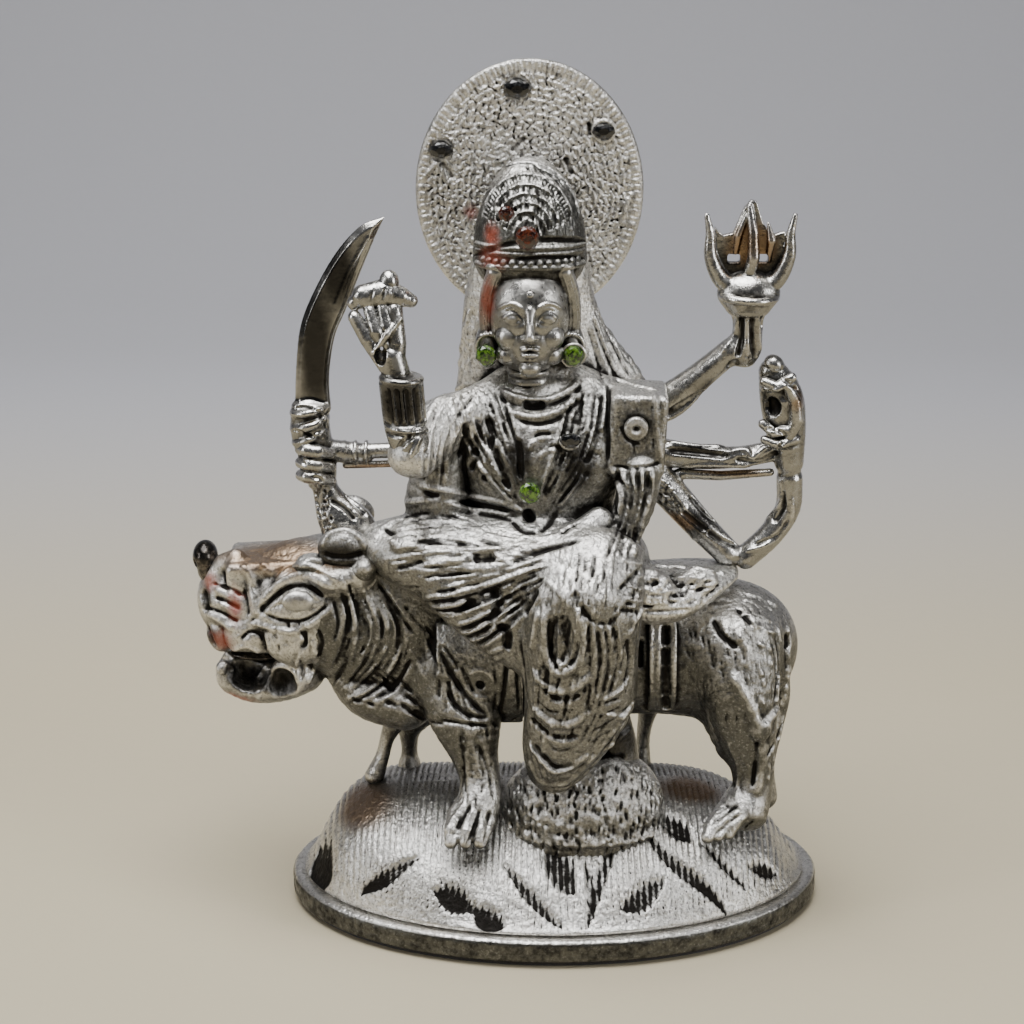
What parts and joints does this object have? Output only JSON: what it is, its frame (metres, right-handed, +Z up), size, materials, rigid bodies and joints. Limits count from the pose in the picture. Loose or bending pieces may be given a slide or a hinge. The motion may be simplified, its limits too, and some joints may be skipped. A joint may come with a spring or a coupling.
{
  "type": "hindu deity statue",
  "caption": "Silver-plated statuette of a many-armed goddess with a halo, seated sideways on a walking tiger, on an oval mound base.",
  "frame": {"origin": "centre of the underside of the base, on the felt pad", "axes": "+Z up, the goddess faces -Y, the tiger's nose points along -X"},
  "size_m": [0.1553, 0.088, 0.21],
  "materials": {
    "metal": "silver-plated casting, polished on the high places, darkened in the recesses",
    "dark_metal": "darkened plating, glossy",
    "red_stone": "foil-backed cut glass, dark red-brown",
    "green_stone": "foil-backed cut glass, green",
    "black_stone": "foil-backed cut glass, near black",
    "felt": "matt felt"
  },
  "bodies": {
    "root": {"felt_pad": "felt", "base_plinth": "metal", "base_mound": "metal", "foot_lotus": "metal", "tiger_body": "metal", "tiger_foreleg_near": "metal", "tiger_foreleg_far": "metal", "tiger_hindleg_near": "metal", "tiger_hindleg_far": "metal", "tiger_tail": "metal", "tiger_mane": "metal", "tiger_nose": "dark_metal", "tiger_eye_near": "metal", "tiger_eye_far": "metal", "tiger_head": "metal", "tiger_jaw": "metal", "tiger_tongue": "dark_metal", "tiger_ear_near": "metal", "tiger_ear_far": "metal", "saddle_cloth_near": "metal", "saddle_cloth_far": "metal", "left_foot": "metal", "hanging_drapery": "metal", "lap_drapery": "metal", "seat_cloth": "metal", "girth_strap": "metal", "left_sleeve": "metal", "sleeve_fall": "metal", "sleeve_boss": "metal", "left_forearm": "metal", "pendant_stone": "green_stone", "chest_stone": "black_stone", "torso": "metal", "crown_stone_large": "red_stone", "crown_stone_small": "black_stone", "earring_stone_right": "green_stone", "earring_stone_left": "green_stone", "head": "metal", "crown": "metal", "halo_stone_top": "black_stone", "halo_stone_right": "black_stone", "halo_stone_left": "black_stone", "halo_plate": "metal", "halo_rim": "metal", "veil": "metal", "right_upper_arm": "metal", "right_bangles": "metal", "right_hand": "metal", "hand_flower": "metal", "sword_hand": "metal", "sword_blade": "metal", "sword_arm": "metal", "lower_right_arm": "metal", "trident_arm_upper": "metal", "trident_arm_fore": "metal", "trident_head": "metal", "middle_left_arm": "metal", "conch_hand": "metal", "lower_left_arm": "metal", "loop_arm": "metal"}
  },
  "joints": []
}
